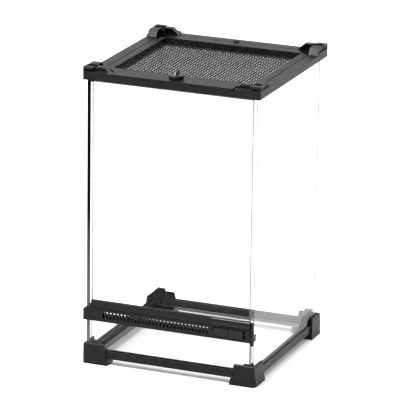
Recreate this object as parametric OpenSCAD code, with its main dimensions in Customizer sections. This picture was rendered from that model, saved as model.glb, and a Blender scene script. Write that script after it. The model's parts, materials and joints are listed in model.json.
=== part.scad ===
// Front-opening glass terrarium with a black moulded base, vent bar and lift-up mesh lid.
// Millimetres, +Z up, front towards -Y. Origin: centre of the footprint, on the floor.

/* [Overall] */
// Outer width and depth of the top frame and of the feet
frame_w = 206; // [200:1:216]
// Height of the underside of the top frame above the floor
top_z = 324; // [300:1:360]
// Thickness of the glass panes
glass_t = 4; // [3:0.5:5]

/* [Base] */
// Height of the corner feet
foot_h = 23.6; // [20:0.2:26]
// Length of a foot along each side, at the floor
foot_len = 30.8; // [28:0.2:34]
// Length of a foot along each side, at its top
foot_len_top = 25.8; // [23:0.2:27]
// Height of the underside of the base rails
rail_z = 7.4; // [6:0.1:8]
// Height of the base rails
rail_h = 9; // [8:0.1:10]

/* [Vent bar and door] */
// Underside of the vent bar
bar_z = 50.6; // [48:0.2:54]
// Height of the vent bar
bar_h = 14.6; // [14:0.1:16]
// Height of the door's bottom rail
door_rail_h = 8.9; // [8:0.1:10]
// Number of vent slots
slot_count = 30; // [20:1:30]
// Distance from one vent slot to the next
slot_pitch = 4.23; // [4:0.01:4.4]
// Width of a vent slot
slot_w = 2.2; // [1.6:0.1:2.6]

/* [Top frame and lid] */
// Height of the top frame's rails
frame_h = 7; // [6.5:0.1:8]
// Width of the top frame's rails, seen from above
frame_rail_w = 12; // [11.5:0.1:13]
// How far the lid's front band stands above the rails
lip_h = 2.4; // [2:0.1:3]
// Height of the stacking corners above the rails
corner_h = 7.4; // [7:0.1:9]
// Width of the window in the lid
window_w = 162.8; // [150:0.2:164]
// Depth of the window in the lid
window_d = 153.6; // [140:0.2:154]
// Diameter of the lid's turn knob
knob_d = 16.4; // [14:0.2:17]

/* [Hidden] */

$fn = 64;
eps = 0.01;
play = 0.05;            // gap between seated pieces of one assembly
gap = 0.4;              // gap round pieces that move

plastic = "#2b2b2c";
glass_tint = [0.86, 0.93, 0.91, 0.35];

half = frame_w / 2;

// Glass box
glass_out = half - 4.2;
glass_in = glass_out - glass_t;
floor_t = glass_t;
glass_z = rail_z + 1.6;
glass_top = top_z + 5;

// Base rail profile, measured inwards from the corner's outer planes
rail_out = 2.6;
slot_out = half - glass_out - play;
slot_in = slot_out + glass_t + 2 * play;
rail_in = slot_in + 1.7;
flange_in = 16;
flange_t = 1.2;
rail_start = flange_in + 0.4;

// Foot
foot_draft = 1.4;
foot_corner_r = 5;
guard_t = 1.9;
guard_top_front = foot_h - 0.4;
guard_top_rear = 29;
guard_len = 19;

// Vent bar profile
bar_front = -half + 0.6;
bar_back = -glass_in + 1.4;
bar_wall = 1.5;
bar_top = bar_z + bar_h;
bar_left = -half + 1.4;
bar_right = 96;
lower_glass_top = bar_z + 6.8;
edge_clear = glass_out + 0.5;      // plane in front of the side panes
slot_z = bar_z + 3.8;
slot_h = 7.8;
slot_first_x = -77;
vent_window = [-80, 48];

// Latch pads in the vent bar
pad_z = bar_z + 3;
pad_h = 8.6;
pad_pocket = [53, 90];
pad_split = 70;
pad_t = 2;
pad_flange_t = 0.7;
button_travel = 1;
slider_travel = 2.2;

// Door
door_x = -glass_in + 0.9;
door_w = 2 * glass_in - 1.6;
door_z = bar_top + gap;
door_glass_z = door_z + 1.7;
door_glass_top = top_z - 1.4;
hinge_x = -93;
hinge_y = -half + 2.5;
pin_r = 1.25;
pivot_grip = 0.4;         // how far the upper pivot clip reaches down over the glass
door_rail_front = -half + 1;
door_rail_top = door_z + door_rail_h;
handle_x = [51, bar_right - 0.2];

// Top frame
frame_top = top_z + frame_h;
frame_in = half - frame_rail_w;
frame_corner_r = 2;
ledge_in = frame_in - 4;
ledge_h = 2;
lip_top = frame_top + lip_h;
plate_line = 160.6;         // |x| + |y| on the sloped edge of a corner plate
corner_plate = 2 * frame_in - plate_line;
cable_hole_in = frame_rail_w + 6.2;
cable_hole_r = 4;

// Stacking corners
corner_len_x = 31.5;
corner_len_y = 31;
corner_roof_x = 23.5;
corner_roof_y = 26;
corner_top = frame_top + corner_h;
roof_t = 1.4;
post = 5;
corner_wall = 1.6;
groove_span = [2.5, 25];    // shallow groove along each outer face
groove_h = 2.2;
groove_depth = 0.8;
socket = 14;                // the foot of a unit stacked on top sits in it
socket_depth = 2.8;

// Lid
lid_half = frame_in - 0.9;
lid_z = top_z + ledge_h + 0.3;
lid_chamfer = 18.5;
skirt_half = ledge_in - 0.5;
skirt_z = top_z + 0.1;
lid_lip_half = half - corner_len_x - 0.3;
mesh_t = 0.4;
mesh_margin = 1.8;
retainer_t = 1.75;
retainer_z = skirt_z - mesh_t - play - retainer_t;
screen_line = plate_line - 0.7;   // skirt, mesh and retainer stop short of the corner plates
screw_x = window_w / 2 + 2.9;
screw_r = 0.9;
lid_hinge_x = -2;
lid_hinge_y = frame_in + 0.4;
lid_hinge_z = frame_top + 0.4;
knuckle_r = 1.5;
knuckle_w = 2;
lug_w = 2;
lid_pin_r = 0.7;

// Knob and cam
knob_x = 1;
knob_y = -half + 14;
knob_h = 3.8;
fin_h = 4.4;
shaft_r = 3.1;
cam_r = 8;
cam_t = 2.2;
cam_w = 5;
cam_z = lid_z + 0.9;
cam_pocket_r = 9.5;

// ---------- helpers ----------

// Puts a piece drawn for the front left corner (u, v inwards from it) at any corner
module at_corner(sx, sy)
  mirror([sx > 0 ? 1 : 0, 0, 0]) mirror([0, sy > 0 ? 1 : 0, 0])
    translate([-half, -half, 0]) children();

// Box from its low corner to its high corner
module box(low, high) translate(low) cube(high - low);

// Profile in (u, z), extruded along v from v0 to v1
module along_v(v0, v1) translate([0, v1, 0]) rotate([90, 0, 0]) linear_extrude(v1 - v0) children();

// Profile in (v, z), extruded along u from u0 to u1
module along_u(u0, u1) translate([u0, 0, 0]) rotate([90, 0, 90]) linear_extrude(u1 - u0) children();

// Plan outline that is a square with a round corner at the origin
module round_corner_plan(size, r) {
  union() {
    translate([r, r]) circle(r);
    translate([r, 0]) square([size - r, size]);
    translate([0, r]) square([size, size - r]);
  }
}

// Square ring plan with round outer corners
module rounded_square(half_size, r) {
  union() {
    for (sx = [-1, 1], sy = [-1, 1])
      translate([sx * (half_size - r), sy * (half_size - r)]) circle(r);
    square([2 * half_size, 2 * (half_size - r)], center = true);
    square([2 * (half_size - r), 2 * half_size], center = true);
  }
}

// ---------- base ----------

module foot_profile() {
  polygon([[0, 0], [foot_len, 0], [foot_len_top, foot_h], [foot_draft + 1, foot_h],
           [foot_draft, foot_h - 0.9]]);
}

module foot(guard_top) {
  color(plastic) {
    difference() {
      intersection() {
        along_v(0, foot_len) foot_profile();
        along_u(0, foot_len) foot_profile();
        linear_extrude(foot_h) round_corner_plan(foot_len, foot_corner_r);
      }
      // room for the glass box
      box([slot_out, slot_out, rail_z + flange_t], [foot_len, foot_len, foot_h] + [1, 1, 1]);
      // rail ends
      for (turn = [0, 1]) mirror([turn, -turn, 0])
        box([rail_start - 0.2, rail_out - play, rail_z - play],
            [foot_len + 1, foot_len + 1, rail_z + rail_h + 0.15]);
      // open middle under the floor pane
      box([flange_in + 1, flange_in + 1, -1], [foot_len, foot_len, foot_h] + [1, 1, 1]);
    }
    // guards inside the glass corner
    for (turn = [0, 1]) mirror([turn, -turn, 0]) foot_guard(guard_top);
  }
}

// One wall of the guard, along u, inside the pane that faces v
module foot_guard(guard_top) {
  v0 = slot_in + play;
  along_v(v0, v0 + guard_t) polygon([
    [v0, rail_z + flange_t - eps], [rail_start - 0.2, rail_z + flange_t - eps],
    [rail_start - 0.2, rail_z + rail_h + 0.2], [guard_len, rail_z + rail_h + 0.2],
    [guard_len - 2, guard_top], [v0, guard_top]]);
}

module base_rail(x_rail = true) {
  color(plastic)
    mirror([x_rail ? 0 : 1, x_rail ? 0 : -1, 0])
      translate([0, -half, 0])
        along_u(-half + rail_start, half - rail_start) polygon([
          [rail_out, rail_z], [flange_in, rail_z], [flange_in, rail_z + flange_t],
          [rail_in, rail_z + flange_t], [rail_in, rail_z + rail_h + 0.1],
          [slot_in, rail_z + rail_h + 0.1], [slot_in, glass_z - 0.1],
          [slot_out, glass_z - 0.1], [slot_out, rail_z + rail_h], [rail_out, rail_z + rail_h]]);
}

// ---------- glass ----------

module floor_glass() {
  side = half - rail_in - guard_t + 1.4;
  color(glass_tint) box([-side, -side, rail_z + flange_t + 0.1],
                        [side, side, rail_z + flange_t + 0.1 + floor_t]);
}

module side_glass() {
  color(glass_tint) box([-glass_out, -glass_out, glass_z], [-glass_in, glass_out, glass_top]);
}

module back_glass() {
  x = glass_in - play;
  color(glass_tint) box([-x, glass_in, glass_z], [x, glass_out, glass_top]);
}

module lower_front_glass() {
  x = glass_in - play;
  color(glass_tint) box([-x, -glass_out, glass_z], [x, -glass_in, lower_glass_top]);
}

// Clear fillets in the glass corners: two tall ones at the back, two short ones at the front
module silicone_beads() {
  leg = 2;
  floor_z = rail_z + rail_h + 13;
  color([0.9, 0.92, 0.92, 0.6]) for (sx = [-1, 1]) {
    for (row = [[1, top_z - 1], [-1, bar_z - 1]])
      translate([sx * glass_in, row[0] * glass_in, floor_z])
        mirror([sx < 0 ? 0 : 1, 0, 0]) mirror([0, row[0] < 0 ? 0 : 1, 0])
          linear_extrude(row[1] - floor_z)
            translate([play, play]) polygon([[0, 0], [leg, 0], [0, leg]]);
  }
}

// Black strip on the front edge of the left pane, where the door closes
module glass_edge_strip() {
  color("black") box([-glass_out + 0.2, -glass_out - 0.4, foot_h + 0.1],
                     [-glass_in - 0.2, -glass_out - 0.02, top_z - 0.1]);
}

// ---------- vent bar ----------

module vent_bar() {
  inner_x = glass_in - 0.3;
  cavity_x = [-88, 91];
  color(plastic) difference() {
    union() {
      // in front of the side panes
      box([bar_left, bar_front, bar_z], [bar_right, -edge_clear, bar_top]);
      // between the side panes
      box([-inner_x, -edge_clear - eps, bar_z], [inner_x, bar_back, bar_top]);
    }
    // room for the lower pane
    box([-inner_x - 1, -glass_out - play, bar_z - 1],
        [inner_x + 1, -glass_in + play, lower_glass_top + 0.1]);
    // air channel over the pane
    box([cavity_x[0], bar_front + bar_wall, bar_z + 1.4],
        [cavity_x[1], -glass_in + play, bar_top - bar_wall]);
    box([vent_window[0], bar_front + bar_wall, lower_glass_top + 0.6],
        [vent_window[1], bar_back + 1, bar_top - 2]);
    // slots
    for (i = [0 : slot_count - 1])
      box([slot_first_x + i * slot_pitch - slot_w / 2, bar_front - 1, slot_z],
          [slot_first_x + i * slot_pitch + slot_w / 2, bar_front + bar_wall + 1, slot_z + slot_h]);
    // pocket for the latch pads
    box([pad_pocket[0], bar_front - 1, pad_z - 0.4],
        [pad_pocket[1], bar_front + bar_wall + 1, bar_top - 0.9]);
    // lower door pivot
    translate([hinge_x, hinge_y, bar_top - 5]) cylinder(h = 6, r = pin_r + play);
    // room for the left end piece
    box([bar_left - 1, bar_front - 1, bar_z - 1],
        [bar_left + 2.8, -edge_clear + 1, bar_top + 1]);
  }
}

// End piece that hooks round the left pane
module bar_end_left() {
  color(plastic) union() {
    box([bar_left, bar_front, bar_z], [bar_left + 2.5, -edge_clear, bar_top - 1.6]);
    box([bar_left, -edge_clear - eps, bar_z], [-glass_out - 0.1, -glass_out + 8, bar_top - 1.6]);
  }
}

// End piece that hooks round the right pane, with a tongue below the bar
module bar_end_right() {
  x1 = glass_out + 0.8;
  color(plastic) union() {
    box([bar_right + play, bar_front + 0.4, bar_z - 3.4], [x1, -edge_clear, bar_top]);
    box([glass_out + 0.1, -edge_clear - eps, bar_z + 1], [x1, -glass_out + 5, bar_z + 9]);
  }
}

module latch_pad(x0, x1) {
  flange_z = [bar_z + 1.8, bar_top - bar_wall - 0.4];
  union() {
    box([x0, bar_front, pad_z], [x1, bar_front + pad_t, pad_z + pad_h]);
    box([x0, bar_front + pad_t - eps - pad_flange_t + 0.4, flange_z[0]],
        [x1, bar_front + pad_t + 0.3, flange_z[1]]);
  }
}

module release_button() { color(plastic) latch_pad(pad_pocket[0] + 0.4, pad_split - 0.3); }

// Sliding lock with three grip ribs
module lock_slider() {
  x0 = pad_split + 0.3;
  x1 = pad_pocket[1] - slider_travel - 0.3;
  color(plastic) union() {
    latch_pad(x0, x1);
    for (i = [0 : 2])
      box([x0 + 5 + 3 * i, bar_front - 0.5, pad_z + 1.6],
          [x0 + 6 + 3 * i, bar_front + eps, pad_z + pad_h - 1.6]);
  }
}

// ---------- door ----------

module door_glass() {
  color(glass_tint) box([door_x, -glass_out, door_glass_z],
                        [door_x + door_w, -glass_in, door_glass_top]);
}

module door_rail() {
  x0 = hinge_x + 0.7;
  x1 = door_x + door_w - 0.2;
  grip_back = -glass_in + 1.4;
  lug_h = 4.4;
  lug_r = 2.05;
  color(plastic) difference() {
    union() {
      along_u(x0, x1) polygon([
        [door_rail_front, door_z], [grip_back, door_z], [grip_back, door_z + 6.4],
        [-glass_in + play, door_z + 6.4], [-glass_in + play, door_glass_z - play],
        [-glass_out - play, door_glass_z - play], [-glass_out - play, door_rail_top],
        [door_rail_front + 0.8, door_rail_top], [door_rail_front, door_rail_top - 0.6]]);
      // front wall runs on over the right pane's edge
      box([x1 - 1, door_rail_front, door_z], [handle_x[1], -edge_clear, door_rail_top - 0.6]);
      // pivot lug at the left end, rounded to swing clear of the pane
      translate([hinge_x, hinge_y, door_z]) cylinder(h = lug_h, r = lug_r);
      box([hinge_x, door_rail_front, door_z], [x0 + 1, -edge_clear, door_z + lug_h]);
    }
    translate([hinge_x, hinge_y, door_z - 1]) cylinder(h = 4, r = pin_r);
    // the lug stays in front of the glass
    box([hinge_x - 3, -glass_out - play, door_glass_z - play],
        [hinge_x + 3, -glass_in + play, door_z + lug_h + 1]);
    // seat for the handle
    box([handle_x[0] - play, door_rail_front - 1, door_z - 1],
        [handle_x[1] + 1, door_rail_front + 1, door_rail_top + 1]);
  }
}

// Curved finger pull that overhangs the latch pads
module door_handle() {
  bulge = 2.2;
  handle_r = 5;
  color(plastic) difference() {
    along_u(handle_x[0], handle_x[1]) polygon(concat(
      [[door_rail_front + 1 - play, door_z + 0.2], [door_rail_front + 1 - play, door_rail_top]],
      [for (a = [0 : 10 : 90])
        [door_rail_front + 0.6 - (bulge + 0.6) * sin(a),
         door_rail_top - 5 + 5 * cos(a)]],
      [[door_rail_front - bulge, door_z + 1.4], [door_rail_front - bulge + 1, door_z + 0.2]]));
    // rounded lower left end
    translate([handle_x[0], door_rail_front - bulge - 3, door_z + handle_r]) difference() {
      box([-1, 0, -handle_r - 1], [handle_r, bulge + 3 + 0.4, 0]);
      translate([handle_r, -1, 0]) rotate([-90, 0, 0]) cylinder(h = bulge + 6, r = handle_r);
    }
    // scoop under the lip for a fingertip
    translate([pad_split, door_rail_front - bulge - 3, door_z - 33.5])
      rotate([-90, 0, 0]) cylinder(h = bulge + 3 + 0.4, r = 35.4, $fn = 128);
  }
}

module door_catch() {
  color(plastic) union() {
    box([handle_x[1] + play, door_rail_front + 0.2, door_z + 0.2],
        [glass_out + 0.6, -edge_clear - 0.1, door_rail_top - 0.8]);
    box([glass_out - 1.2, door_rail_front - 0.8, door_z + 3],
        [glass_out + 0.6, door_rail_front + 0.3, door_z + 6]);
  }
}

// Cap on the door's upper hinge corner
module door_pivot_clip() {
  x0 = -glass_in + 0.45;
  x1 = x0 + 3.9;
  z0 = door_glass_top - pivot_grip;
  z1 = top_z - gap;
  color(plastic) difference() {
    box([x0, door_rail_front, z0], [x1, -glass_in + 1.2, z1]);
    box([x0 - 1, -glass_out - play, z0 - 1], [x1 + 1, -glass_in + play, door_glass_top + play]);
    translate([hinge_x, hinge_y, z0 - 1]) cylinder(h = 10, r = pin_r);
  }
}

module door_pin_top() {
  z0 = door_glass_top - pivot_grip;
  color("silver") translate([hinge_x, hinge_y, z0]) cylinder(h = top_z + 4 - z0, r = pin_r);
}

module door_pin_bottom() {
  z0 = bar_top - 4.6;
  color("silver") translate([hinge_x, hinge_y, z0]) cylinder(h = door_z + 3 - z0, r = pin_r);
}

// ---------- top frame ----------

module top_frame() {
  groove = glass_t + 2 * play;
  color(plastic) difference() {
    union() {
      difference() {
        translate([0, 0, top_z]) linear_extrude(frame_h) rounded_square(half, frame_corner_r);
        box([-frame_in, -frame_in, top_z - 1], [frame_in, frame_in, frame_top + 1]);
      }
      // ledge that the lid rests on
      difference() {
        box([-frame_in - 1, -frame_in - 1, top_z], [frame_in + 1, frame_in + 1, top_z + ledge_h]);
        box([-ledge_in, -ledge_in, top_z - 1], [ledge_in, ledge_in, frame_top]);
      }
      // corner plates that close the gap beside the lid's cut corners
      for (sx = [-1, 1], sy = [-1, 1]) at_corner(sx, sy)
        translate([frame_rail_w - 1, frame_rail_w - 1, top_z]) linear_extrude(ledge_h)
          polygon([[0, 0], [corner_plate + 1, 0], [0, corner_plate + 1]]);
      // hinge lugs
      for (side = [-1, 1])
        translate([lid_hinge_x + side * (knuckle_w / 2 + 0.2 + lug_w / 2), 0, 0]) {
          translate([-lug_w / 2, lid_hinge_y, lid_hinge_z]) rotate([0, 90, 0])
            cylinder(h = lug_w, r = knuckle_r);
          box([-lug_w / 2, frame_in, frame_top - 2],
              [lug_w / 2, lid_hinge_y + knuckle_r, lid_hinge_z]);
        }
    }
    // grooves for the side and back panes
    for (sx = [-1, 1]) mirror([sx < 0 ? 0 : 1, 0, 0])
      box([-glass_out - play, -glass_out - play, top_z - 1],
          [-glass_out - play + groove, glass_out + play, glass_top + 0.1]);
    box([-glass_out, glass_in - play, top_z - 1], [glass_out, glass_out + play, glass_top + 0.1]);
    // cable holes
    for (sx = [-1, 1], sy = [-1, 1]) at_corner(sx, sy)
      translate([cable_hole_in, cable_hole_in, top_z - 1]) cylinder(h = ledge_h + 2, r = cable_hole_r);
    // upper door pivot
    translate([hinge_x, hinge_y, top_z - 1]) cylinder(h = 5.5, r = pin_r + play);
    // room for the knob's hub, and the pocket that the cam turns into
    box([knob_x - cam_pocket_r, -frame_in - 3, top_z - 1],
        [knob_x + cam_pocket_r, -frame_in + 5, frame_top + 1]);
    translate([knob_x, knob_y, cam_z - 0.3]) cylinder(h = cam_t + 0.6, r = cam_r + 0.6);
    // hinge knuckle and pin
    box([lid_hinge_x - knuckle_w / 2 - 0.2, frame_in - 1, lid_hinge_z - knuckle_r - 0.3],
        [lid_hinge_x + knuckle_w / 2 + 0.2, lid_hinge_y + knuckle_r + 0.4, frame_top + 3]);
    translate([lid_hinge_x - 10, lid_hinge_y, lid_hinge_z]) rotate([0, 90, 0])
      cylinder(h = 20, r = lid_pin_r);
  }
}

// Stacking corner: an L-shaped shell of two arms with sloped ends, open towards the lid,
// with a groove along each outer face and a socket in its top
module arm_profile(len, roof) {
  polygon([[0, frame_top], [len, frame_top], [roof, corner_top], [0, corner_top]]);
}

module hollow_profile(len, roof) {
  z1 = corner_top - roof_t;
  end_wall = 1.9;
  start = socket + corner_wall;
  polygon([[start, frame_top - 1], [len - end_wall, frame_top - 1], [len - end_wall, frame_top],
           [roof + (len - roof) * roof_t / corner_h - end_wall, z1], [start, z1]]);
}

module stacking_corner() {
  roof_set_x = 4.5;     // front and back arms stand back from the fascia
  roof_set_y = 1;
  color(plastic) difference() {
    intersection() {
      union() {
        intersection() {
          union() {
            along_v(0, frame_rail_w) arm_profile(corner_len_x, corner_roof_x);
            along_u(0, frame_rail_w) arm_profile(corner_len_y, corner_roof_y);
          }
          box([-1, -1, frame_top], [60, 60, lip_top]);
        }
        along_v(roof_set_x, frame_rail_w) arm_profile(corner_len_x, corner_roof_x);
        along_u(roof_set_y, frame_rail_w) arm_profile(corner_len_y, corner_roof_y);
        box([0, 0, frame_top], [post, post, corner_top]);
      }
      translate([0, 0, frame_top]) linear_extrude(corner_h)
        round_corner_plan(60, frame_corner_r);
    }
    along_v(roof_set_x + corner_wall, frame_rail_w + 1)
      hollow_profile(corner_len_x, corner_roof_x);
    along_u(roof_set_y + corner_wall, frame_rail_w + 1)
      hollow_profile(corner_len_y, corner_roof_y);
    // grooves
    box([groove_span[0], -1, lip_top],
        [groove_span[1], roof_set_x + groove_depth, lip_top + groove_h]);
    box([-1, groove_span[0], lip_top],
        [roof_set_y + groove_depth, groove_span[1], lip_top + groove_h]);
    // socket
    box([roof_set_y + corner_wall, roof_set_x + corner_wall, corner_top - socket_depth],
        [socket, socket, corner_top + 1]);
  }
}

// ---------- lid ----------

module lid_plan() {
  c = lid_chamfer;
  h = lid_half;
  polygon([[-h + c, -h], [h - c, -h], [h, -h + c], [h, h - c], [h - c, h], [-h + c, h],
           [-h, h - c], [-h, -h + c]]);
}

module lid_frame() {
  color(plastic) difference() {
    union() {
      difference() {
        translate([0, 0, lid_z]) linear_extrude(frame_top - lid_z) lid_plan();
        // notch for the hinge lugs
        box([lid_hinge_x - 3.6, frame_in - 1.7, frame_top - 2.2],
            [lid_hinge_x + 3.6, frame_in, frame_top + 1]);
      }
      // raised front band and the lip over the front rail
      intersection() {
        translate([0, 0, frame_top - 1]) linear_extrude(lip_h + 1) lid_plan();
        box([-half, -half, frame_top - 1], [half, -window_d / 2, lip_top]);
      }
      box([-lid_lip_half, -half, frame_top + 0.3], [lid_lip_half, -lid_half + 1, lip_top]);
      // skirt that carries the screen
      translate([0, 0, skirt_z]) linear_extrude(lid_z - skirt_z + 1)
        cut_rectangle(skirt_half, skirt_half, screen_line);
      // hinge knuckle
      translate([lid_hinge_x - knuckle_w / 2, lid_hinge_y, lid_hinge_z]) rotate([0, 90, 0])
        cylinder(h = knuckle_w, r = knuckle_r);
      box([lid_hinge_x - knuckle_w / 2, lid_half - 3, lid_hinge_z - knuckle_r],
          [lid_hinge_x + knuckle_w / 2, lid_hinge_y, frame_top]);
    }
    box([-window_w / 2, -window_d / 2, skirt_z - 1], [window_w / 2, window_d / 2, lip_top + 1]);
    // knob shaft and cam
    translate([knob_x, knob_y, skirt_z - 1]) cylinder(h = 14, r = shaft_r + play);
    translate([knob_x, knob_y, skirt_z - 1])
      cylinder(h = cam_z + cam_t + 1.3 - skirt_z, r = cam_pocket_r);
    translate([lid_hinge_x - 5, lid_hinge_y, lid_hinge_z]) rotate([0, 90, 0])
      cylinder(h = 10, r = lid_pin_r + play);
    for (p = screw_places()) translate([p[0], p[1], skirt_z - 1]) cylinder(h = 4.8, r = screw_r + play);
  }
}

// Rectangle in plan, cut by the lines |x| + |y| = line
module cut_rectangle(x, y, line) {
  polygon([[line - y, -y], [x, x - line], [x, line - x], [line - y, y],
           [y - line, y], [-x, line - x], [-x, x - line], [y - line, -y]]);
}

// The woven screen as a thin sheet of the same mass
module mesh_screen() {
  color("dimgray") translate([0, 0, skirt_z - mesh_t]) linear_extrude(mesh_t)
    cut_rectangle(window_w / 2 + mesh_margin, window_d / 2 + mesh_margin, screen_line);
}

module mesh_retainer() {
  color(plastic) difference() {
    translate([0, 0, retainer_z]) linear_extrude(retainer_t)
      cut_rectangle(skirt_half, skirt_half, screen_line);
    box([-window_w / 2, -window_d / 2, retainer_z - 1], [window_w / 2, window_d / 2, lid_z]);
    // clear of the cam
    translate([knob_x, knob_y, retainer_z - 1]) cylinder(h = 5, r = 5);
    for (p = screw_places()) translate([p[0], p[1], retainer_z - 1]) cylinder(h = 5, r = screw_r + play);
  }
}

// Three screws along each side band of the lid
function screw_places() = [for (sx = [-1, 1], y = [-60, 0, 60]) [sx * screw_x, y]];

module retainer_screws() {
  color("silver") for (p = screw_places()) translate([p[0], p[1], retainer_z - 0.8]) {
    cylinder(h = 0.78, r = 1.9);
    cylinder(h = 6.4, r = screw_r);
  }
}

module lid_hinge_pin() {
  w = knuckle_w + 2 * lug_w + 0.4;
  color("silver") translate([lid_hinge_x - w / 2, lid_hinge_y, lid_hinge_z])
    rotate([0, 90, 0]) cylinder(h = w, r = lid_pin_r);
}

// Turn knob: disc with a finger fin, and the shaft that goes through the lid
module lid_knob() {
  fin_l = 12.5;
  fin_w = 3;
  z0 = lip_top + 0.2;
  color(plastic) translate([knob_x, knob_y, 0]) difference() {
    union() {
      translate([0, 0, z0]) cylinder(h = knob_h, r = knob_d / 2);
      along_u(-fin_w / 2, fin_w / 2) polygon([
        [-fin_l / 2, z0 + knob_h - eps], [fin_l / 2, z0 + knob_h - eps],
        [fin_l / 2 - 1.2, z0 + knob_h + fin_h], [-fin_l / 2 + 3.6, z0 + knob_h + fin_h]]);
      translate([0, 0, cam_z + cam_t]) cylinder(h = z0 + eps - cam_z - cam_t, r = shaft_r);
    }
    translate([0, 0, cam_z]) cylinder(h = cam_t + 4, r = screw_r + play);
  }
}

// Tongue under the lid that turns into the pocket of the front rail
module lid_cam() {
  color(plastic) translate([knob_x, knob_y, cam_z]) difference() {
    intersection() {
      union() {
        cylinder(h = cam_t, r = 3.8);
        box([0, -cam_w / 2, 0], [cam_r + 1, cam_w / 2, cam_t]);
      }
      cylinder(h = cam_t, r = cam_r);
    }
    translate([0, 0, -1]) cylinder(h = cam_t + 2, r = screw_r + play);
  }
}

module knob_screw() {
  color("silver") translate([knob_x, knob_y, cam_z - 0.8]) {
    cylinder(h = 0.78, r = 1.9);
    cylinder(h = cam_t + 4, r = screw_r);
  }
}

// ---------- assembly ----------

at_corner(-1, -1) foot(guard_top_front);  // foot_front_left
at_corner(1, -1) foot(guard_top_front);  // foot_front_right
at_corner(-1, 1) foot(guard_top_rear);  // foot_rear_left
at_corner(1, 1) foot(guard_top_rear);  // foot_rear_right
base_rail();  // base_rail_front
mirror([0, 1, 0]) base_rail();  // base_rail_back
base_rail(false);  // base_rail_left
mirror([1, 0, 0]) base_rail(false);  // base_rail_right
floor_glass();
side_glass();  // left_glass
mirror([1, 0, 0]) side_glass();  // right_glass
back_glass();
lower_front_glass();
silicone_beads();
glass_edge_strip();
vent_bar();
bar_end_left();
bar_end_right();
release_button();
lock_slider();
door_glass();
door_rail();
door_handle();
door_catch();
door_pivot_clip();
door_pin_top();
door_pin_bottom();
top_frame();
at_corner(-1, -1) stacking_corner();  // stacking_corner_front_left
at_corner(1, -1) stacking_corner();  // stacking_corner_front_right
at_corner(-1, 1) stacking_corner();  // stacking_corner_rear_left
at_corner(1, 1) stacking_corner();  // stacking_corner_rear_right
lid_frame();
mesh_screen();
mesh_retainer();
retainer_screws();
lid_hinge_pin();
lid_knob();
lid_cam();
knob_screw();
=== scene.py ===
"""Looks of the front-opening glass terrarium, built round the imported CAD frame."""

import json
import math

import bmesh
import bpy
from mathutils import Matrix, Vector


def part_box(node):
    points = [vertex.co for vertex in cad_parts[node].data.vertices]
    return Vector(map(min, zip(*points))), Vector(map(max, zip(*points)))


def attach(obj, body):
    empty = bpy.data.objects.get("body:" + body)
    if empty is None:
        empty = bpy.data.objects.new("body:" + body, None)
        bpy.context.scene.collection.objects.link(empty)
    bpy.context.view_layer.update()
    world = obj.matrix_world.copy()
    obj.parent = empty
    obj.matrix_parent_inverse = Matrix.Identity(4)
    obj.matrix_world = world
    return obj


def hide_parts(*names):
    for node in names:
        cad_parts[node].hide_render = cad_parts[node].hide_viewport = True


MM = 0.001

# Camera: where it stands in metres, how it is turned in radians, its lens and sensor in mm
CAMERA_AT = (1.42865, -3.53686, 1.33888)
CAMERA_YAW, CAMERA_PITCH, CAMERA_ROLL = 0.383, 0.299, 0.014
CAMERA_LENS = 312.0
CAMERA_SENSOR = 36.0
CAMERA_REACH = 50.0

# Area lights: name, place, what they face, size (metres) and power (watts)
LIGHTS = [
    ("overhead", (-0.3, 0.4, 2.2), (0, 0, 0.1), (2.0, 2.0), 45.0),
    ("front_left", (-0.36, -0.66, 1.19), (0.07, 0.07, 0.33), (0.3, 0.3), 20.0),
    ("back_right", (0.45, 1.7, 1.1), (-0.08, -0.09, 0.33), (0.4, 0.4), 3.0),
]
# Strength of the plain white sky
SKY_STRENGTH = 1.0
# Floor: half its side in metres, and its cells along each side
FLOOR_HALF, FLOOR_CELLS = 6.0, 24

PLASTIC = [
    "foot_front_left", "foot_front_right", "foot_rear_left", "foot_rear_right",
    "base_rail_front", "base_rail_back", "base_rail_left", "base_rail_right",
    "vent_bar", "bar_end_left", "bar_end_right",
    "door_rail", "door_catch", "door_pivot_clip", "top_frame",
    "stacking_corner_front_left", "stacking_corner_front_right",
    "stacking_corner_rear_left", "stacking_corner_rear_right",
    "lid_frame", "mesh_retainer", "lid_cam",
]
GLOSSY = ["door_handle", "release_button", "lock_slider", "lid_knob"]
STEEL = ["door_pin_top", "door_pin_bottom", "retainer_screws", "lid_hinge_pin", "knob_screw"]
# Each pane's axis through its thickness and the width of its chamfers, in mm
PANES = {
    "floor_glass": (2, 0.2), "left_glass": (0, 0.35), "right_glass": (0, 0.6),
    "back_glass": (1, 0.3), "lower_front_glass": (1, 0.6), "door_glass": (1, 0.8),
}
# Edge rounding, in mm, where it isn't the usual one
ROUNDING = {"mesh_retainer": 0.2, "vent_bar": 0.22, "lid_cam": 0.3, "lid_knob": 0.5,
            "door_handle": 0.5}
USUAL_ROUNDING = 0.35
# An edge is rounded where its two faces turn by more than this, in degrees
SHARP_EDGE = 25.0
# CAD mesh clean-up: points closer than this are one, and faces flatter than this merge
SAME_POINT = 2e-6
FLAT_ANGLE = 1.0
# A pane's face is square to an axis where its normal has more than this share along it
SQUARE = 0.99
# Lid screen, in mm; the wires' wave is a share of their radius
MESH_PITCH, MESH_RADIUS, MESH_WAVE = 4.3, 0.52, 0.3
# Sides of a wire's tube, and its rings from one crossing to the next
WIRE_SIDES, WIRE_CUTS = 6, 4
# The wires' middle lies this far under the CAD sheet's, in mm
MESH_DROP = 0.1
# Share of light that one face of a pane reflects, by 1 - cos(angle of incidence)
GLASS_REFLECTION = [(0.0, 0.004), (0.2, 0.006), (0.35, 0.012), (0.5, 0.035), (0.64, 0.1),
                    (0.75, 0.19), (0.85, 0.34), (0.93, 0.55), (1.0, 1.0)]


# ---------- shader helpers ----------

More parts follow.
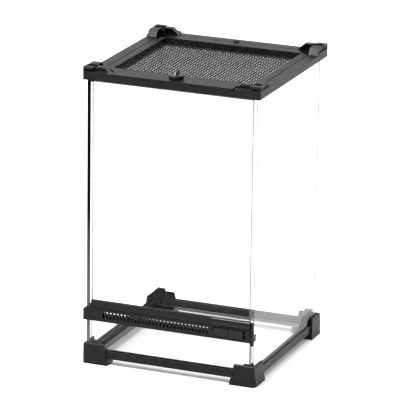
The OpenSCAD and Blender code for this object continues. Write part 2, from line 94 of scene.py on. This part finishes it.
def new_material(name):
    """A node material with no nodes in it yet, and its node tree."""
    material = bpy.data.materials.new(name)
    material.use_nodes = True
    material.node_tree.nodes.clear()
    return material, material.node_tree


def noise(tree, scale, detail, stretch=(1, 1, 1)):
    """Noise in object space, so it stays on the piece as it moves."""
    coords = tree.nodes.new("ShaderNodeTexCoord")
    mapping = tree.nodes.new("ShaderNodeMapping")
    mapping.inputs["Scale"].default_value = stretch
    texture = tree.nodes.new("ShaderNodeTexNoise")
    texture.inputs["Scale"].default_value = scale
    texture.inputs["Detail"].default_value = detail
    tree.links.new(coords.outputs["Object"], mapping.inputs["Vector"])
    tree.links.new(mapping.outputs["Vector"], texture.inputs["Vector"])
    return texture.outputs["Fac"]


def ramp(tree, source, stops, target):
    """Feeds target through a ramp of (position, colour) pairs; a number stands for a grey."""
    node = tree.nodes.new("ShaderNodeValToRGB")
    elements = node.color_ramp.elements
    while len(elements) > 1:
        elements.remove(elements[-1])
    for index, (position, colour) in enumerate(stops):
        element = elements[0] if index == 0 else elements.new(position)
        element.position = position
        element.color = (colour, colour, colour, 1) if isinstance(colour, float) else (*colour, 1)
    tree.links.new(source, node.inputs["Fac"])
    tree.links.new(node.outputs["Color"], target)


def bump(tree, source, strength, distance, target):
    """Feeds target with normals that follow the source's relief; distance is in metres."""
    node = tree.nodes.new("ShaderNodeBump")
    node.inputs["Strength"].default_value = strength
    node.inputs["Distance"].default_value = distance
    tree.links.new(source, node.inputs["Height"])
    tree.links.new(node.outputs["Normal"], target)


def show(tree, shader):
    """Makes a shader the material's surface."""
    out = tree.nodes.new("ShaderNodeOutputMaterial")
    tree.links.new(shader.outputs[0], out.inputs["Surface"])


def blend(tree, first, second):
    """Shows a mix of two shaders and returns its input for the second one's share."""
    mix = tree.nodes.new("ShaderNodeMixShader")
    tree.links.new(first.outputs["BSDF"], mix.inputs[1])
    tree.links.new(second.outputs["BSDF"], mix.inputs[2])
    show(tree, mix)
    return mix.inputs["Fac"]


# ---------- materials ----------

def plastic_material(name, tone, roughness, specular, grain):
    """Moulded plastic: cloudy tone, uneven sheen and a fine eroded grain.

    tone and roughness: the lowest and highest value of each.
    """
    material, tree = new_material(name)
    shader = tree.nodes.new("ShaderNodeBsdfPrincipled")
    cloud = noise(tree, scale=60.0, detail=4.0)
    fine = noise(tree, scale=2600.0, detail=2.0)
    ramp(tree, cloud, [(0.3, tone[0]), (0.7, tone[1])], shader.inputs["Base Color"])
    ramp(tree, cloud, [(0.3, roughness[0]), (0.7, roughness[1])], shader.inputs["Roughness"])
    bump(tree, fine, strength=grain, distance=0.00008, target=shader.inputs["Normal"])
    shader.inputs["Specular IOR Level"].default_value = specular
    show(tree, shader)
    return material


def thin_glass_material(name, tint, roughness, reflection):
    """Clear pane: passes light straight on and reflects by angle.

    tint: the darkest and lightest colour of what passes. reflection: the mirror's own grey.
    """
    material, tree = new_material(name)
    clear = tree.nodes.new("ShaderNodeBsdfTransparent")
    gloss = tree.nodes.new("ShaderNodeBsdfGlossy")
    slant = tree.nodes.new("ShaderNodeLayerWeight")
    haze = noise(tree, scale=9.0, detail=2.0)
    ramp(tree, haze, [(0.3, tint[0]), (0.7, tint[1])], clear.inputs["Color"])
    gloss.inputs["Roughness"].default_value = roughness
    gloss.inputs["Color"].default_value = (reflection, reflection, reflection, 1)
    slant.inputs["Blend"].default_value = 0.5
    ramp(tree, slant.outputs["Facing"], GLASS_REFLECTION, blend(tree, clear, gloss))
    return material


def glass_edge_material():
    """Ground chamfer of a pane: pale green grey, half clear."""
    material, tree = new_material("glass_ground_edge")
    shader = tree.nodes.new("ShaderNodeBsdfPrincipled")
    clear = tree.nodes.new("ShaderNodeBsdfTransparent")
    streak = noise(tree, scale=300.0, detail=3.0)
    ramp(tree, streak, [(0.3, (0.1, 0.12, 0.115)), (0.7, (0.15, 0.18, 0.17))],
         shader.inputs["Base Color"])
    shader.inputs["Roughness"].default_value = 0.35
    clear.inputs["Color"].default_value = (0.2, 0.23, 0.22, 1)
    blend(tree, clear, shader).default_value = 0.5
    return material


def silicone_material():
    """Clear sealant: mostly see-through with a milky sheen."""
    material, tree = new_material("clear_silicone_bead")
    shader = tree.nodes.new("ShaderNodeBsdfPrincipled")
    clear = tree.nodes.new("ShaderNodeBsdfTransparent")
    lumps = noise(tree, scale=120.0, detail=2.0)
    ramp(tree, lumps, [(0.3, 0.8), (0.7, 0.92)], shader.inputs["Base Color"])
    bump(tree, lumps, strength=0.4, distance=0.0002, target=shader.inputs["Normal"])
    shader.inputs["Roughness"].default_value = 0.25
    blend(tree, clear, shader).default_value = 0.16
    return material


def edge_strip_material(low_z, high_z):
    """Strip that is dark grey at the bottom and black from halfway up."""
    material, tree = new_material("edge_strip_black")
    shader = tree.nodes.new("ShaderNodeBsdfPrincipled")
    coords = tree.nodes.new("ShaderNodeTexCoord")
    split = tree.nodes.new("ShaderNodeSeparateXYZ")
    span = tree.nodes.new("ShaderNodeMapRange")
    span.inputs["From Min"].default_value = low_z
    span.inputs["From Max"].default_value = high_z
    tree.links.new(coords.outputs["Object"], split.inputs["Vector"])
    tree.links.new(split.outputs["Z"], span.inputs["Value"])
    height = span.outputs["Result"]
    ramp(tree, height, [(0.1, 0.09), (0.4, 0.03), (0.5, 0.0015)], shader.inputs["Base Color"])
    ramp(tree, height, [(0.1, 0.6), (0.5, 0.8)], shader.inputs["Roughness"])
    shader.inputs["Specular IOR Level"].default_value = 0.02
    show(tree, shader)
    return material


def wire_material():
    """Black coating on woven wire."""
    material, tree = new_material("coated_wire")
    shader = tree.nodes.new("ShaderNodeBsdfPrincipled")
    patches = noise(tree, scale=45.0, detail=3.0)
    ramp(tree, patches, [(0.3, 0.004), (0.7, 0.01)], shader.inputs["Base Color"])
    ramp(tree, patches, [(0.3, 0.42), (0.7, 0.6)], shader.inputs["Roughness"])
    shader.inputs["Specular IOR Level"].default_value = 0.15
    show(tree, shader)
    return material


def steel_material():
    """Bright steel with fine turning marks."""
    material, tree = new_material("bright_steel")
    shader = tree.nodes.new("ShaderNodeBsdfPrincipled")
    marks = noise(tree, scale=900.0, detail=2.0, stretch=(1, 1, 12))
    ramp(tree, marks, [(0.3, 0.45), (0.7, 0.62)], shader.inputs["Base Color"])
    ramp(tree, marks, [(0.3, 0.22), (0.7, 0.38)], shader.inputs["Roughness"])
    shader.inputs["Metallic"].default_value = 1.0
    show(tree, shader)
    return material


def floor_material():
    """Pale matt floor that the object stands on."""
    material, tree = new_material("pale_floor")
    shader = tree.nodes.new("ShaderNodeBsdfPrincipled")
    cloud = noise(tree, scale=1.5, detail=2.0)
    ramp(tree, cloud, [(0.3, 0.93), (0.7, 0.95)], shader.inputs["Base Color"])
    shader.inputs["Roughness"].default_value = 0.8
    shader.inputs["Specular IOR Level"].default_value = 0.1
    show(tree, shader)
    return material


# ---------- mesh helpers ----------

def add_object(name, bm, materials, smooth=True):
    mesh = bpy.data.meshes.new(name)
    bm.to_mesh(mesh)
    bm.free()
    obj = bpy.data.objects.new(name, mesh)
    bpy.context.scene.collection.objects.link(obj)
    for material in materials:
        mesh.materials.append(material)
    for polygon in mesh.polygons:
        polygon.use_smooth = smooth
    return obj


def weighted_normals(obj):
    """Keeps the big faces flat and lets only the rounded edges catch light."""
    modifier = obj.modifiers.new("flat_faces", "WEIGHTED_NORMAL")
    modifier.keep_sharp = True
    modifier.weight = 90


def round_edges(bm, width, segments=2):
    edges = [e for e in bm.edges
             if len(e.link_faces) == 2 and e.calc_face_angle(0.0) > math.radians(SHARP_EDGE)]
    bmesh.ops.bevel(bm, geom=edges, offset=width, offset_type="OFFSET", segments=segments,
                    profile=0.5, affect="EDGES", clamp_overlap=True)


def moulded(node, body, material):
    """The CAD node's shape with its edges rounded as a mould leaves them."""
    bm = bmesh.new()
    bm.from_mesh(frame["nodes"][node].data)
    bmesh.ops.remove_doubles(bm, verts=bm.verts, dist=SAME_POINT)
    bmesh.ops.dissolve_limit(bm, angle_limit=math.radians(FLAT_ANGLE),
                             verts=bm.verts, edges=bm.edges)
    round_edges(bm, ROUNDING.get(node, USUAL_ROUNDING) * MM)
    obj = add_object("moulded_" + node, bm, [material])
    weighted_normals(obj)
    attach(obj, body)
    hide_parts(node)


def pane(node, axis, chamfer, body, materials):
    """A sheet of glass with polished edges and ground chamfers; axis runs through it.

    materials: for the two faces, the flat edges and the chamfers.
    """
    low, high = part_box(node)
    bm = bmesh.new()
    bmesh.ops.create_cube(bm, size=1.0)
    bmesh.ops.scale(bm, vec=high - low, verts=bm.verts)
    bmesh.ops.translate(bm, vec=(low + high) / 2, verts=bm.verts)
    round_edges(bm, chamfer * MM, segments=1)
    obj = add_object("pane_" + node, bm, materials, smooth=False)
    for polygon in obj.data.polygons:
        square_to = [abs(part) > SQUARE for part in polygon.normal]
        if square_to[axis]:
            polygon.material_index = 0
        elif any(square_to):
            polygon.material_index = 1
        else:
            polygon.material_index = 2
    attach(obj, body)
    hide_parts(node)


def give_material(node, material):
    """A CAD node whose shape stays as it is gets a better material."""
    slots = frame["nodes"][node].data.materials
    slots.clear()
    slots.append(material)


def wire(bm, start, step, count, other, wave, radius, phase):
    """One woven wire: a tube that passes over and under the wires it crosses.

    step: from one crossing to the next. other: the direction of the wires it crosses.
    """
    rings = []
    turn = 2 * math.pi / WIRE_SIDES
    for i in range(count * WIRE_CUTS + 1):
        t = i / WIRE_CUTS
        centre = start + step * t
        centre = centre + Vector((0, 0, wave * math.cos(math.pi * (t + phase))))
        slope = -wave * math.pi * math.sin(math.pi * (t + phase)) / step.length
        along = (step.normalized() + Vector((0, 0, slope))).normalized()
        up = other.cross(along).normalized()
        rings.append([
            bm.verts.new(centre + radius * (math.cos(turn * k) * other + math.sin(turn * k) * up))
            for k in range(WIRE_SIDES)])
    for a, b in zip(rings, rings[1:]):
        for k in range(WIRE_SIDES):
            following = (k + 1) % WIRE_SIDES
            bm.faces.new((a[k], a[following], b[following], b[k]))
    bm.faces.new(rings[0][::-1])
    bm.faces.new(rings[-1])


def woven_mesh(node, body, material):
    """Plain-weave screen that fills the CAD sheet's outline."""
    pitch = MESH_PITCH * MM
    radius = MESH_RADIUS * MM
    wave = radius * MESH_WAVE
    low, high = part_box(node)
    middle_z = (low.z + high.z) / 2 - MESH_DROP * MM
    nx = int((high.x - low.x) / pitch)
    ny = int((high.y - low.y) / pitch)
    x0 = (low.x + high.x - nx * pitch) / 2
    y0 = (low.y + high.y - ny * pitch) / 2
    bm = bmesh.new()
    for j in range(ny + 1):
        wire(bm, Vector((x0, y0 + j * pitch, middle_z)), Vector((pitch, 0, 0)), nx,
             Vector((0, 1, 0)), wave, radius, j)
    for i in range(nx + 1):
        wire(bm, Vector((x0 + i * pitch, y0, middle_z)), Vector((0, pitch, 0)), ny,
             Vector((1, 0, 0)), wave, radius, i + 1)
    obj = add_object("woven_mesh", bm, [material])
    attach(obj, body)
    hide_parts(node)


# ---------- stage ----------

def make_floor():
    bm = bmesh.new()
    bmesh.ops.create_grid(bm, x_segments=FLOOR_CELLS, y_segments=FLOOR_CELLS, size=FLOOR_HALF)
    floor = add_object("floor", bm, [floor_material()])


def make_camera():
    """Camera with its three axes worked out from its turn: yaw, then pitch, then roll."""
    yaw, pitch, roll = CAMERA_YAW, CAMERA_PITCH, CAMERA_ROLL
    right = Vector((math.cos(yaw), math.sin(yaw), 0))
    back = Vector((math.sin(yaw) * math.cos(pitch), -math.cos(yaw) * math.cos(pitch),
                   math.sin(pitch)))
    up = back.cross(right)
    turned_right = math.cos(roll) * right + math.sin(roll) * up
    turned_up = math.cos(roll) * up - math.sin(roll) * right
    data = bpy.data.cameras.new("camera")
    data.lens = CAMERA_LENS
    data.sensor_width = CAMERA_SENSOR
    data.clip_end = CAMERA_REACH
    camera = bpy.data.objects.new("camera", data)
    bpy.context.scene.collection.objects.link(camera)
    turn = Matrix((turned_right, turned_up, back)).transposed()
    camera.matrix_world = Matrix.Translation(CAMERA_AT) @ turn.to_4x4()
    bpy.context.scene.camera = camera


def area_light(name, at, target, size, power):
    """Rectangular light that faces its target."""
    data = bpy.data.lights.new(name, "AREA")
    data.shape = "RECTANGLE"
    data.size, data.size_y = size
    data.energy = power
    light = bpy.data.objects.new(name, data)
    bpy.context.scene.collection.objects.link(light)
    light.location = at
    light.rotation_mode = "QUATERNION"
    light.rotation_quaternion = (Vector(target) - Vector(at)).to_track_quat("-Z", "Y")


def make_sky():
    world = bpy.data.worlds.new("studio")
    bpy.context.scene.world = world
    world.use_nodes = True
    background = world.node_tree.nodes["Background"]
    background.inputs["Color"].default_value = (1, 1, 1, 1)
    background.inputs["Strength"].default_value = SKY_STRENGTH


# ---------- scene ----------

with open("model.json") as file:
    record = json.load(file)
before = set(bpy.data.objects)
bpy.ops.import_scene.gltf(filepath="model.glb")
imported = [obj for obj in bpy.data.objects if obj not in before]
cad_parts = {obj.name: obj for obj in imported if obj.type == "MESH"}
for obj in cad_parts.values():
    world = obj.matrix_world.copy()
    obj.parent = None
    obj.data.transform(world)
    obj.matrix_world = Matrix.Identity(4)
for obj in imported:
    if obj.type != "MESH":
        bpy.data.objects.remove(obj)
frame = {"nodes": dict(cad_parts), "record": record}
bodies = frame["record"]["behaviour"]["bodies"]
body_of = {node: body for body, nodes in bodies.items() for node in nodes}
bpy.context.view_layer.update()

black = plastic_material("moulded_black", tone=(0.003, 0.006), roughness=(0.33, 0.39),
                         specular=0.13, grain=0.2)
glossy_black = plastic_material("latch_black", tone=(0.003, 0.006), roughness=(0.2, 0.27),
                                specular=0.18, grain=0.08)
clear = thin_glass_material("clear_pane", tint=((0.97, 0.977, 0.974), (0.977, 0.983, 0.98)),
                            roughness=0.0, reflection=1.0)
# The floor pane's tint is darker than the other panes': painted shade on the floor seen through
# it
shade_tinted_floor = thin_glass_material("floor_pane_painted_shade", tint=((0.925, 0.93, 0.925), (0.95, 0.955, 0.95)),
                                  roughness=0.0, reflection=1.0)
polished = thin_glass_material("polished_edge", tint=((0.9, 0.92, 0.91), (0.93, 0.945, 0.94)),
                               roughness=0.1, reflection=0.6)
ground = glass_edge_material()

for name in PLASTIC:
    moulded(name, body_of[name], black)
for name in GLOSSY:
    moulded(name, body_of[name], glossy_black)
for name, (through, chamfer) in PANES.items():
    face = shade_tinted_floor if name == "floor_glass" else clear
    pane(name, through, chamfer, body_of[name], [face, polished, ground])
woven_mesh("mesh_screen", body_of["mesh_screen"], wire_material())

steel = steel_material()
for name in STEEL:
    give_material(name, steel)
give_material("silicone_beads", silicone_material())
strip_low, strip_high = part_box("glass_edge_strip")
give_material("glass_edge_strip", edge_strip_material(strip_low.z, strip_high.z))

make_floor()
make_camera()
make_sky()
for name, at, target, size, power in LIGHTS:
    area_light(name, at, target, size, power)
bpy.context.scene.view_settings.view_transform = "Standard"
